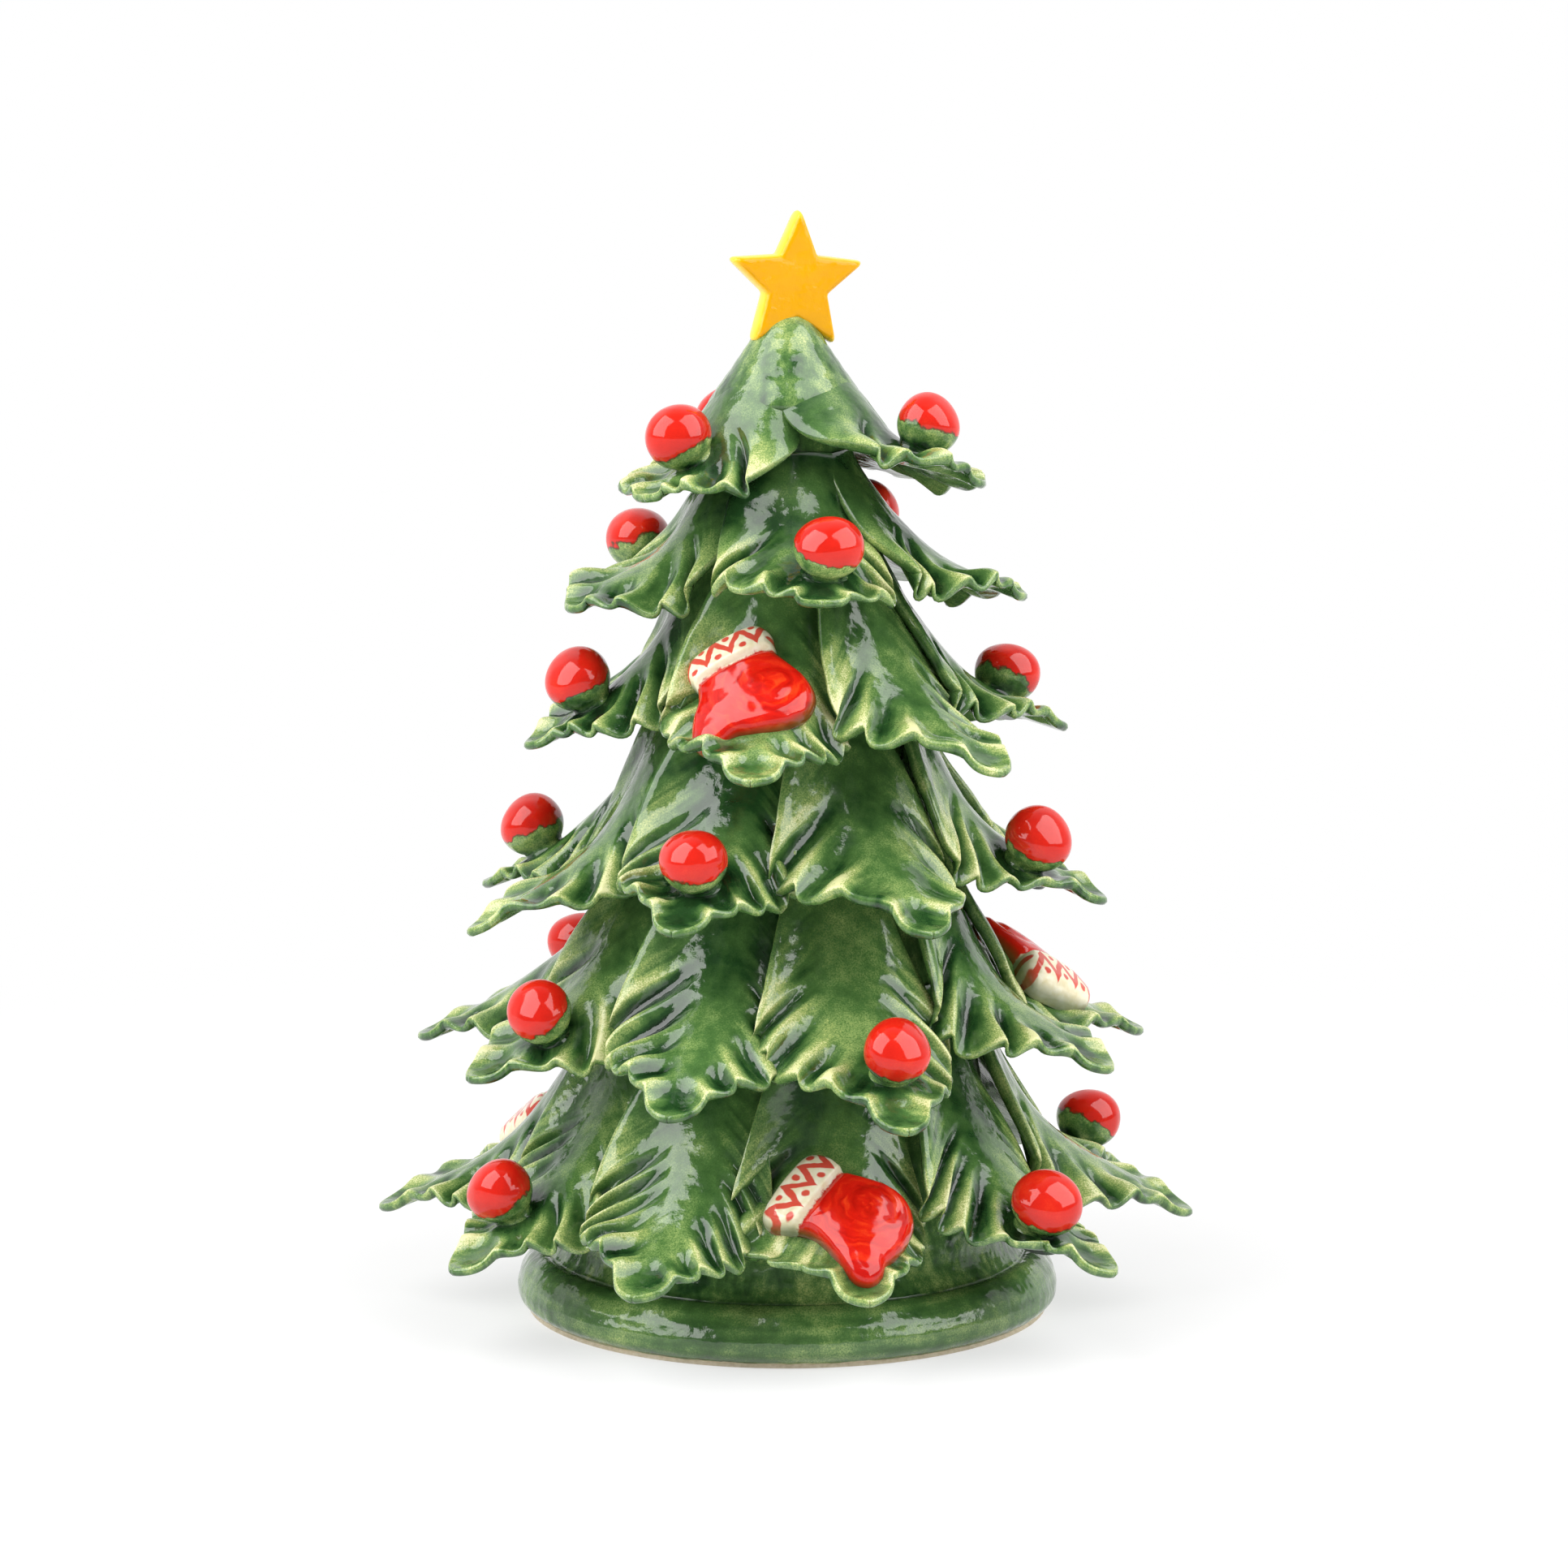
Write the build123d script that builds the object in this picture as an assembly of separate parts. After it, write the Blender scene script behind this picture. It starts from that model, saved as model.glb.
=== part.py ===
from build123d import *
from collections import namedtuple
from math import cos, hypot, isclose, pi, radians, sin
import os

# Hand-built ceramic Christmas tree, in millimetres, +Z up, front towards -Y.
# The origin is the centre of the foot ring's tread, the face that the tree stands on.
# Each node is one piece of clay, or one tier's baubles. The potter lutes the pieces together with slip.

# Hollow body cone, which stands on the foot ring
CONE_RADIUS = 58.0
CONE_HEIGHT = 226.0
SKIRT_FLARE = 3.6
SKIRT_HEIGHT = 5.0
TIP_RADIUS = 10.5
TIP_DOME_HEIGHT = 6.0
TIP_SOLID_DEPTH = 22.0
BODY_WALL = 5.0

# Foot ring: a roll of clay, by how far it stands out from the foot of the cone
FOOT_HEIGHT = 15.0
FOOT_FLARE = 11.3
FOOT_FULLEST_HEIGHT = 4.5
FOOT_TREAD_FLARE = 8.0
FOOT_SHOULDER_FLARE = 4.4

# Joints between pieces of clay
SLIP_GAP = 0.25
LEAST_GAP = 0.1
NEIGHBOUR_GAP = 0.5

# Leaves: pressed clay, arched across, with rounded lobes along both edges
LEAF_THICKNESS = 3.0
LEAF_ROOT_THICKNESS = 1.2
LEAF_TIP_THICKNESS = 1.8
LEAF_TIP_HALF_WIDTH = 2.2
LOBES_PER_SIDE = 5
ROOT_WIDTH_SHARE = 0.72
WIDEST_SHARE = 0.40
TIP_FULLNESS = 2.5
TIP_ROUNDNESS = 0.75
LOBES_START_SHARE = 0.36
LOBES_END_SHARE = 0.94
NOTCH_SHARE = 0.15
ARCH_START_SHARE = 0.12
ARCH_FULL_SHARE = 0.72
TIP_ARCH_RADIUS = 50.0
TIP_ARCH_START_SHARE = 0.66
ROLL_FULL_SHARE = 0.60
ROOT_STATIONS = [0.0, 0.09, 0.18, 0.27]
ROOT_HANDLE_SHARE = 0.40
TIP_HANDLE_SHARE = 0.42

# Baubles: rolled balls pressed onto the leaves
BAUBLE_RADIUS = 8.4
BAUBLE_SEAT_SHARE = 0.85

# Stockings: a thick cut-out with a cuff, pressed onto the leaf
STOCKING_THICKNESS = 7.0
STOCKING_SEAT_DEPTH = 2.8
STOCKING_EDGE_RADIUS = 2.0
STOCKING_CORNER_RADIUS = 3.5
CUFF_WIDTH = 24.0
CUFF_HEIGHT = 11.0
CUFF_PROUD = 0.8
LEG_WIDTH = 21.0
LEG_LENGTH = 4.0
HEEL_PROUD = 4.0
TOE_PROUD = 6.0
FOOT_DEPTH = 18.0
TOE_DEPTH = 11.0

# Star, set in a slot across the tip
STAR_POINTS = 5
STAR_RADIUS = 19.3
STAR_INNER_RADIUS = 8.8
STAR_THICKNESS = 7.0
STAR_POINT_RADIUS = 0.9
STAR_CROTCH_RADIUS = 1.5
STAR_SETTING_DEPTH = 6.0
STAR_OFFSET = 1.8
STAR_YAW = 20.0
STAR_LEAN = -2.5
STAR_SLOT_GAP = 0.2

# What a leaf carries. Along runs from the leaf's root, 0, to its tip, 1.
# Aside is to the right, seen from outside.
Bauble = namedtuple("Bauble", "along aside", defaults=(0.76, 0.0))
Stocking = namedtuple("Stocking", "along aside turn")

# A leaf's own azimuth (0 is the front, 90 the right), and how it differs from its tier:
# extra reach, lift of the tip, and roll to the right.
Leaf = namedtuple("Leaf", "azimuth reach lift roll load", defaults=(0.0, 0.0, 0.0, None))

# Root, reach and drop are shares of the cone's height. The root is above the foot of the cone,
# and reach and drop run from there to the tip of the leaf.
Tier = namedtuple("Tier", "root reach drop half_width arch_radius tip_slope leaves")

TIERS = [
    Tier(0.3009, 0.2580, 0.2898, 25.0, 22.0, 20.0, [
        Leaf(-128, load=Stocking(0.63, 2.5, 250.0)),
        Leaf(-92, 2.0),
        Leaf(-55, -2.0, -1.0, load=Bauble(0.75, -2.5)),
        Leaf(-22, -4.0),
        Leaf(12, -8.0, load=Stocking(0.67, -2.0, 47.0)),
        Leaf(50, 1.0, 0.0, -6.0, Bauble(0.76, -5.0)),
        Leaf(88, 1.0, 1.0),
        Leaf(122, 2.0, load=Bauble(0.87, 2.5)),
        Leaf(158),
        Leaf(195, load=Bauble()),
    ]),
    Tier(0.4823, 0.2518, 0.2765, 25.0, 22.0, 20.0, [
        Leaf(-138, load=Bauble(0.70, 6.0)),
        Leaf(-97, 3.0),
        Leaf(-60, -2.0, load=Bauble(0.74, 4.5)),
        Leaf(-18),
        Leaf(17, 6.0, -2.0, load=Bauble(0.77, 1.8)),
        Leaf(62, -2.0, 2.0, -4.0),
        Leaf(99, load=Stocking(0.60, 0.0, 120.0)),
        Leaf(140),
        Leaf(181, load=Bauble()),
    ]),
    Tier(0.6549, 0.2482, 0.2765, 24.0, 21.0, 20.0, [
        Leaf(-150),
        Leaf(-106, -2.0, -1.0, load=Bauble(0.78)),
        Leaf(-67, 2.0, -4.0, 12.0),
        Leaf(-20, -3.0, 3.0, load=Bauble(0.76)),
        Leaf(25, -1.0, 3.0),
        Leaf(78, -2.0, 1.0, -4.0, Bauble(0.74, -6.0)),
        Leaf(122),
        Leaf(166, load=Bauble()),
    ]),
    Tier(0.8097, 0.2235, 0.2500, 23.0, 21.0, 20.0, [
        Leaf(-170, load=Bauble()),
        Leaf(-123),
        Leaf(-75, -3.0, 0.0, 4.0, Bauble(0.74, 0.8)),
        Leaf(-7, 2.0, -2.0, load=Stocking(0.56, -4.5, 25.0)),
        Leaf(43, 6.0, -2.0),
        Leaf(92, 0.0, 1.0, -8.0, Bauble(0.76, 6.5)),
        Leaf(141),
    ]),
    Tier(0.8872, 0.1863, 0.1748, 22.0, 22.0, 20.0, [
        Leaf(-140, load=Bauble(0.82, 5.4)),
        Leaf(-68),
        Leaf(9, -4.0, 5.0, load=Bauble(0.76, 2.0)),
        Leaf(78, 2.0, 1.5, -6.0),
        Leaf(148, load=Bauble(0.54, 0.0)),
    ]),
    Tier(0.9889, 0.1593, 0.1527, 19.0, 26.0, 16.0, [
        Leaf(-148, load=Bauble(0.55, -1.5)),
        Leaf(-50, -2.0, 0.0, 6.0, Bauble(0.63, -0.8)),
        Leaf(66, 5.0, 3.0, -10.0, Bauble(0.65)),
        Leaf(138),
    ]),
]

# Steps in the search for a leaf's edge
HALVINGS = 20

SKIRT_RADIUS = CONE_RADIUS + SKIRT_FLARE
FOOT_RADIUS = CONE_RADIUS + FOOT_FLARE
FOOT_TREAD_RADIUS = CONE_RADIUS + FOOT_TREAD_FLARE
FOOT_SHOULDER_RADIUS = CONE_RADIUS + FOOT_SHOULDER_FLARE
CONE_FOOT = FOOT_HEIGHT + SKIRT_HEIGHT
CONE_TOP = CONE_FOOT + CONE_HEIGHT
TIP_TOP = CONE_TOP + TIP_DOME_HEIGHT
CONE_SLOPE = (CONE_RADIUS - TIP_RADIUS) / CONE_HEIGHT
BORE_RADIUS = CONE_RADIUS - BODY_WALL


def smooth_step(value, start, end):
    """Rise from 0 at start to 1 at end, level at both."""
    share = min(max((value - start) / (end - start), 0.0), 1.0)
    return share * share * (3.0 - 2.0 * share)


def blend(first, second, share):
    return first + (second - first) * share


def cone_radius(height):
    """The body cone's outer radius at a height."""
    return CONE_RADIUS - CONE_SLOPE * (height - CONE_FOOT)


def revolved(edges):
    """A body of revolution from a closed profile of radius and height."""
    return revolve(Plane.XZ * make_face(edges), axis=Axis.Z)


def make_foot_ring():
    tread_in = (BORE_RADIUS, 0.0)
    tread_out = (FOOT_TREAD_RADIUS, 0.0)
    fullest = (FOOT_RADIUS, FOOT_FULLEST_HEIGHT)
    shoulder = (FOOT_SHOULDER_RADIUS, FOOT_HEIGHT)
    seat_in = (BORE_RADIUS, FOOT_HEIGHT)
    roll = ThreePointArc(tread_out, fullest, shoulder)
    return revolved([Line(tread_in, tread_out), roll, Line(shoulder, seat_in), Line(seat_in, tread_in)])


def make_body_cone(star_slot):
    skirt = (SKIRT_RADIUS, FOOT_HEIGHT)
    waist = (CONE_RADIUS, CONE_FOOT)
    shoulder = (TIP_RADIUS, CONE_TOP)
    top = (0.0, TIP_TOP)
    ceiling = CONE_TOP - TIP_SOLID_DEPTH
    ceiling_middle = (0.0, ceiling)
    ceiling_edge = (cone_radius(ceiling) - BODY_WALL, ceiling)
    mouth = (BORE_RADIUS, FOOT_HEIGHT)
    outside = [
        TangentArc(waist, skirt, tangent=(CONE_SLOPE, -1.0)),
        Line(waist, shoulder),
        RadiusArc(shoulder, top, -hypot(TIP_RADIUS, TIP_DOME_HEIGHT)),
    ]
    inside = [
        Line(top, ceiling_middle),
        Line(ceiling_middle, ceiling_edge),
        Line(ceiling_edge, mouth),
        Line(mouth, skirt),
    ]
    return revolved(outside + inside) - star_slot


def corners_at(outline, radius):
    return [corner for corner in outline.vertices() if isclose(hypot(corner.X, corner.Y), radius)]


def star_outline(extra):
    """The star's outline, larger by extra all round."""
    corners = []
    for step in range(2 * STAR_POINTS):
        radius = STAR_INNER_RADIUS if step % 2 else STAR_RADIUS
        angle = pi / 2 + pi / STAR_POINTS * step
        corners.append((radius * cos(angle), radius * sin(angle)))
    outline = make_face(Polyline(*corners, close=True))
    outline = fillet(corners_at(outline, STAR_INNER_RADIUS), STAR_CROTCH_RADIUS)
    outline = fillet(corners_at(outline, STAR_RADIUS), STAR_POINT_RADIUS)
    return offset(outline, extra) if extra else outline


def make_star(extra=0.0):
    """The star standing in the tip. With extra, the room that its slot needs."""
    height = TIP_TOP - STAR_SETTING_DEPTH + STAR_RADIUS * cos(pi / STAR_POINTS)
    place = Pos(STAR_OFFSET, 0.0, height) * Rot(Z=STAR_YAW) * Rot(X=90) * Rot(Z=STAR_LEAN)
    return place * extrude(star_outline(extra), STAR_THICKNESS / 2 + extra, both=True)


class LeafForm:
    """Where a leaf lies: its spine along the underside, its arch, and the room that it has on each side."""

    def __init__(self, tier, leaf, room_left, room_right):
        self.tier = tier
        self.leaf = leaf
        self.room = {-1: room_left, 1: room_right}
        azimuth = radians(leaf.azimuth)
        self.outward = Vector(sin(azimuth), -cos(azimuth), 0.0)
        self.across = Vector(cos(azimuth), sin(azimuth), 0.0)
        root_height = CONE_FOOT + CONE_HEIGHT * tier.root
        reach = CONE_HEIGHT * tier.reach + leaf.reach
        fall = CONE_HEIGHT * tier.drop - leaf.lift
        root_radius = cone_radius(root_height)
        self.root_arch = (root_radius + SLIP_GAP) * hypot(1.0, CONE_SLOPE)
        root = Vector(root_radius + SLIP_GAP, 0.0, root_height)
        tip = Vector(root_radius + reach, 0.0, root_height - fall)
        span = (tip - root).length
        down_cone = Vector(CONE_SLOPE, 0.0, -1.0).normalized()
        slope = radians(tier.tip_slope)
        off_tip = Vector(cos(slope), 0.0, -sin(slope))
        root_handle = root + down_cone * (span * ROOT_HANDLE_SHARE)
        tip_handle = tip - off_tip * (span * TIP_HANDLE_SHARE)
        self.spine = Bezier(root, root_handle, tip_handle, tip)

    def in_place(self, vector):
        """From radius and height to the leaf's azimuth."""
        return self.outward * vector.X + Vector(0.0, 0.0, vector.Z)

    def section_plane(self, along):
        """Square to the spine, with X across the leaf and Y out of its upper face."""
        tangent = self.in_place(self.spine % along)
        roll = radians(self.leaf.roll) * smooth_step(along, 0.0, ROLL_FULL_SHARE)
        upward = tangent.cross(self.across)
        across = self.across * cos(roll) + upward * sin(roll)
        return Plane(self.in_place(self.spine @ along), x_dir=across, z_dir=tangent)

    def arch(self, along):
        """The radius of the underside's arch."""
        hugging = smooth_step(along, ARCH_START_SHARE, ARCH_FULL_SHARE)
        bend = blend(1.0 / self.root_arch, 1.0 / self.tier.arch_radius, hugging)
        return 1.0 / blend(bend, 1.0 / TIP_ARCH_RADIUS, smooth_step(along, TIP_ARCH_START_SHARE, 1.0))

    def thickness(self, along):
        rising = blend(LEAF_ROOT_THICKNESS, LEAF_THICKNESS, smooth_step(along, 0.0, LOBES_START_SHARE))
        return blend(rising, LEAF_TIP_THICKNESS, smooth_step(along, LOBES_END_SHARE, 1.0))

    def seat(self, along, aside):
        """On the upper face, with Z out of it and Y towards the root."""
        plane = self.section_plane(along)
        arch = self.arch(along)
        angle = aside / arch
        reach = arch + self.thickness(along)
        origin = plane.from_local_coords((reach * sin(angle), reach * cos(angle) - arch))
        normal = plane.y_dir * cos(angle) + plane.x_dir * sin(angle)
        across = plane.x_dir * cos(angle) - plane.y_dir * sin(angle)
        return Plane(origin, x_dir=across, z_dir=normal)

    def is_clear(self, point, side):
        """Whether a point clears the body and stays on this leaf's side of the next one."""
        room = radians(self.room[side])
        to_neighbour = point.dot(self.outward) * sin(room) - side * point.dot(self.across) * cos(room)
        to_body = hypot(point.X, point.Y) - cone_radius(point.Z)
        return to_neighbour >= NEIGHBOUR_GAP / 2 and to_body >= LEAST_GAP

    def edge_angle(self, along, half_width, side):
        """How far the leaf reaches round its arch: to its half width, or as far as it has room."""
        plane = self.section_plane(along)
        arch = self.arch(along)
        outer = arch + self.thickness(along)
        shortest = 0.0
        longest = min(half_width / arch, pi / 2)
        angle = longest
        for _ in range(HALVINGS):
            corners = [(r * sin(angle) * side, r * cos(angle) - arch) for r in (arch, outer)]
            if all(self.is_clear(plane.from_local_coords(corner), side) for corner in corners):
                shortest = angle
            else:
                longest = angle
            angle = (shortest + longest) / 2
        return longest if shortest == 0.0 else shortest

    def section(self, along, half_width):
        """The leaf's cross-section: two arcs about one centre, and its two edges."""
        arch = self.arch(along)
        left = -self.edge_angle(along, half_width, -1)
        right = self.edge_angle(along, half_width, 1)

        def on_arc(radius, angle):
            return (radius * sin(angle), radius * cos(angle) - arch)

        under = [on_arc(arch, angle) for angle in (left, (left + right) / 2, right)]
        outer = arch + self.thickness(along)
        upper = [on_arc(outer, angle) for angle in (right, (left + right) / 2, left)]
        edges = [
            ThreePointArc(*under),
            Line(under[2], upper[0]),
            ThreePointArc(*upper),
            Line(upper[2], under[0]),
        ]
        return self.section_plane(along) * make_face(edges)

    def stations(self):
        """Places along the leaf with their half widths: the plain root, notch and lobe in turn, the tip."""
        for along in ROOT_STATIONS:
            yield along, self.tier.half_width * leaf_outline(along)
        lobe_length = (LOBES_END_SHARE - LOBES_START_SHARE) / LOBES_PER_SIDE
        for step in range(2 * LOBES_PER_SIDE):
            along = LOBES_START_SHARE + lobe_length * step / 2
            notch = 0.0 if step % 2 else NOTCH_SHARE
            yield along, self.tier.half_width * leaf_outline(along) * (1.0 - notch)
        yield 1.0, LEAF_TIP_HALF_WIDTH

    def solid(self):
        sections = [self.section(along, half_width) for along, half_width in self.stations()]
        return loft(sections, ruled=True)


def leaf_outline(along):
    """Half width as a share of the widest, with no lobes."""
    if along < WIDEST_SHARE:
        return blend(ROOT_WIDTH_SHARE, 1.0, sin(pi / 2 * along / WIDEST_SHARE))
    towards_tip = (along - WIDEST_SHARE) / (1.0 - WIDEST_SHARE)
    return (1.0 - towards_tip ** TIP_FULLNESS) ** TIP_ROUNDNESS


def make_bauble(form, load):
    seat = form.seat(load.along, load.aside)
    return seat * Pos(0.0, 0.0, BAUBLE_RADIUS * BAUBLE_SEAT_SHARE) * Sphere(BAUBLE_RADIUS)


def rounded_block(outline, thickness):
    """A cut-out of clay with its upper edge rounded off."""
    block = extrude(outline, thickness)
    return fillet(block.faces().sort_by(Axis.Z)[-1].edges(), STOCKING_EDGE_RADIUS)


def make_stocking(form, load):
    """Cuff uppermost, toe to the left, on a flat back that the leaf then hollows."""
    half_leg = LEG_WIDTH / 2
    sole = -LEG_LENGTH - FOOT_DEPTH
    toe = -half_leg - TOE_PROUD
    heel = half_leg + HEEL_PROUD
    under_cuff = CUFF_HEIGHT / 2
    sock = make_face(Polyline(
        (-half_leg, under_cuff), (-half_leg, -LEG_LENGTH), (toe, sole + TOE_DEPTH), (toe, sole),
        (heel, sole), (heel, sole + TOE_DEPTH), (half_leg, -LEG_LENGTH), (half_leg, under_cuff), close=True))
    sock = fillet(sock.vertices(), STOCKING_CORNER_RADIUS)
    cuff = Pos(0.0, CUFF_HEIGHT / 2) * RectangleRounded(CUFF_WIDTH, CUFF_HEIGHT, STOCKING_CORNER_RADIUS)
    thickness = STOCKING_THICKNESS + STOCKING_SEAT_DEPTH
    block = rounded_block(sock, thickness) + rounded_block(cuff, thickness + CUFF_PROUD)
    middle = Pos(0.0, -(CUFF_HEIGHT + sole) / 2, -STOCKING_SEAT_DEPTH)
    return form.seat(load.along, load.aside) * Rot(Z=load.turn) * middle * block


def largest_solid(shape):
    return shape.solids().sort_by(SortBy.VOLUME)[-1]


def tier_forms(tier):
    """The tier's leaves in order, each with half the angle to its neighbours as room."""
    count = len(tier.leaves)
    for place, leaf in enumerate(tier.leaves):
        before = tier.leaves[place - 1].azimuth
        after = tier.leaves[(place + 1) % count].azimuth
        yield LeafForm(tier, leaf, (leaf.azimuth - before) % 360 / 2, (after - leaf.azimuth) % 360 / 2)


def build():
    """Every node of the tree by name."""
    nodes = {
        "foot_ring": make_foot_ring(),
        "body_cone": make_body_cone(make_star(STAR_SLOT_GAP)),
        "star": make_star(),
    }
    for tier_number, tier in enumerate(TIERS, 1):
        baubles = []
        for leaf_number, form in enumerate(tier_forms(tier), 1):
            leaf = form.solid()
            nodes[f"tier_{tier_number}_leaf_{leaf_number:02d}"] = leaf
            load = form.leaf.load
            if isinstance(load, Bauble):
                baubles.append(largest_solid(make_bauble(form, load) - leaf))
            elif isinstance(load, Stocking):
                nodes[f"tier_{tier_number}_stocking_{leaf_number:02d}"] = largest_solid(
                    make_stocking(form, load) - leaf)
        nodes[f"tier_{tier_number}_baubles"] = Compound(children=baubles)
    return nodes


os.makedirs("parts", exist_ok=True)
for name, shape in build().items():
    export_step(shape, os.path.join("parts", name + ".step"))
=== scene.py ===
"""A glazed ceramic Christmas tree: pressed leaves, baubles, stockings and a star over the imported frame."""

from collections import namedtuple
from math import cos, hypot, pi, radians, sin

import bpy
import numpy as np
from mathutils import Matrix, Vector


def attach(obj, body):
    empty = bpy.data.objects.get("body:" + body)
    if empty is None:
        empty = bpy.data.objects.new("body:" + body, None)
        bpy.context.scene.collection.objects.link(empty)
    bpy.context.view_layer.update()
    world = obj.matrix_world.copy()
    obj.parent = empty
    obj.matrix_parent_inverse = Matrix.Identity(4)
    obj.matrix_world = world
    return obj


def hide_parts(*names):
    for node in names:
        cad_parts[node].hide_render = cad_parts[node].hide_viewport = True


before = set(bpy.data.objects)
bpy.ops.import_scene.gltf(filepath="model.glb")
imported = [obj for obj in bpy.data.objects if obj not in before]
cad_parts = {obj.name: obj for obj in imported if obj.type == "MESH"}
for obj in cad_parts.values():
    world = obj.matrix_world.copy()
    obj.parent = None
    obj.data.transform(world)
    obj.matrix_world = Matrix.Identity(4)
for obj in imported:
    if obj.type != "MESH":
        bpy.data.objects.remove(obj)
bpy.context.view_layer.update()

# Lengths in this script are in millimetres until a mesh is made
MM = 0.001
UP = np.array([0.0, 0.0, 1.0])

FOOT_HEIGHT = 15.0
FOOT_RADIUS = 69.3
FOOT_TREAD_RADIUS = 66.0
FOOT_SHOULDER_RADIUS = 62.4
SKIRT_RADIUS = 61.6
SKIRT_HEIGHT = 5.0
CONE_RADIUS = 58.0
CONE_HEIGHT = 226.0
TIP_RADIUS = 10.5
TIP_DOME_HEIGHT = 6.0
BODY_WALL = 5.0
# Depth of the hollow's ceiling under the cone's top, and how far the cone laps into the foot ring
CEILING_DEPTH = 22.0
JOINT_LAP = 0.3
# The foot ring's roll: its radius, the height where it is fullest, its height above that and where it ends
FOOT_ROLL = 9.0
FOOT_FULLEST = 5.2
FOOT_ROLL_RISE = 9.8
FOOT_ROLL_END = 1.25
CONE_FOOT = FOOT_HEIGHT + SKIRT_HEIGHT
CONE_TOP = CONE_FOOT + CONE_HEIGHT
TIP_TOP = CONE_TOP + TIP_DOME_HEIGHT
CONE_SLOPE = (CONE_RADIUS - TIP_RADIUS) / CONE_HEIGHT
SLIP_GAP = 0.25
THROWN_TURNS = 220
# How much thicker the clay of the top leaves is where they run up into the cap, and the cap's profile
CAP_SWELL = 1.2
CAP_PROFILE = [(13.9, 228.0), (16.6, 229.5), (18.6, 231.5), (18.7, 233.2), (17.2, 236.0), (15.3, 238.6),
               (13.6, 241.0), (12.0, 243.4), (10.4, 245.7), (8.8, 248.4), (7.0, 250.8), (4.2, 253.2),
               (2.0, 254.1), (0.4, 254.4)]

LEAF_THICKNESS = 3.0
LEAF_TIP_THICKNESS = 2.3
# The grid of a leaf: points across it, and rows in its shoulder, in each finger and in its tip
LEAF_COLUMNS = 49
SHOULDER_ROWS = 18
FINGER_ROWS = 12
TIP_ROWS = 18
# The midrib's curve: its points, and its handles at the root and the tip as shares of the span
SPINE_POINTS = 401
ROOT_HANDLE = 0.40
TIP_HANDLE = 0.42
# Shares of the midrib where the leaf is widest and where the tip's lobe begins, and the half width there
WIDEST_AT = 0.38
TIP_LOBE_FROM = 0.82
TIP_LOBE_SHARE = 0.31
# How much nearer the tip a finger ends than it leaves the midrib
FINGER_SLANT = 19.0
# How far the edge's waves move the upper face and the lower one
RUFFLE = 1.9
UNDER_RUFFLE = 0.8
# Depth of the pressed fingers, the least clay left under them, and how far the notches cut into the edge
FINGER_DEPTH = 1.7
THINNEST = 0.9
NOTCH_SHARE = 0.15
# Each leaf's right edge stops short of the middle between two leaves. Its left edge passes the middle and
# lies over the next leaf, and does so less at the tree's sides
RIGHT_ROOM = 0.97
LEFT_OVERLAP = 0.30
SIDE_SHINGLE = 0.30
SHINGLE_LIFT = 5.4
SHINGLE_SINK = 1.0
EDGE_FLARE = 2.0
# The rounded edge from the upper face to the lower: share of the way, how far it stands out, and its tone
EDGE_ROUND = [(0.15, 0.5), (0.5, 0.85), (0.85, 0.5)]
EDGE_TONES = [0.56, 0.42, 0.34]
UNDERSIDE_TONE = 0.42
TIP_ARCH_RADIUS = 120.0
# Distances from the middle of an ornament's seat within which its leaf is smooth, and the fading beyond them
BAUBLE_CALM = 6.0
STOCKING_CALM = 15.0
CALM_FADE = 7.0

BAUBLE_RADIUS = 8.4
BAUBLE_SEAT_SHARE = 0.85
BAUBLE_TURNS = 56
STOCKING_THICKNESS = 6.0
CUFF_PROUD = 1.0
# How far the middle of a stocking lies below its cuff's seam, and how it bends with its leaf
STOCKING_MIDDLE = 5.2
STOCKING_BEND_ACROSS = 42.0
STOCKING_BEND_ALONG = 120.0
# The stocking's rounded edge: share of the outline and share of the thickness. Its face has rings within that
STOCKING_EDGE = [(0.97, -0.25), (1.0, 0.0), (1.01, 0.25), (1.0, 0.52), (0.975, 0.74), (0.94, 0.88),
                 (0.90, 0.95)]
STOCKING_POINTS = 160
STOCKING_RINGS = 44
# The outline, with the cuff's seam at height 0 and the toe on the left, and the point that it shrinks to
STOCKING_OUTLINE = [
    (-11.6, 6.5), (-9.5, 10.6), (-4.0, 11.6), (4.0, 11.6), (9.5, 10.6), (11.6, 6.5), (11.0, 2.5), (10.8, 0.0),
    (12.5, -4.5), (14.6, -10.0), (14.4, -15.5), (10.5, -20.2), (4.0, -21.8), (-2.5, -20.9), (-7.0, -19.6),
    (-11.5, -20.4), (-15.6, -19.2), (-17.2, -15.0), (-15.6, -9.5), (-12.2, -4.5), (-10.8, 0.0), (-11.0, 2.5),
]
STOCKING_HEART = np.array([-0.5, -6.5])

STAR_RADIUS = 19.3
STAR_INNER_RADIUS = 8.8
STAR_THICKNESS = 7.0
STAR_SETTING_DEPTH = 6.0
STAR_OFFSET = 1.8
STAR_YAW = 20.0
STAR_LEAN = -2.5
# Rounding of the star's points and of the corners between them, and the edge's share of its radius
STAR_CORNER_RADII = [1.1, 1.4]
STAR_ROUND = 0.16
STAR_POINTS = 240
STAR_RINGS = 12

# The camera and the panels, in metres and degrees
CAMERA_PLACE = (-0.0008, -1.26, 0.3276)
CAMERA_TILT = 8.7
CAMERA_LENS = 115.27
PANEL_SIZE = (1.15, 1.40)
PANEL_DISTANCE = 0.90
PANEL_HEIGHT = 0.86
TREE_MIDDLE = Vector((0.0, 0.0, 0.13))

# What a leaf carries: the place along the midrib and aside from it, how far a stocking is turned, and how far
# its toe droops
Bauble = namedtuple("Bauble", "along aside", defaults=(0.76, 0.0))
Stocking = namedtuple("Stocking", "along aside turn droop", defaults=(0.0,))

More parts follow.
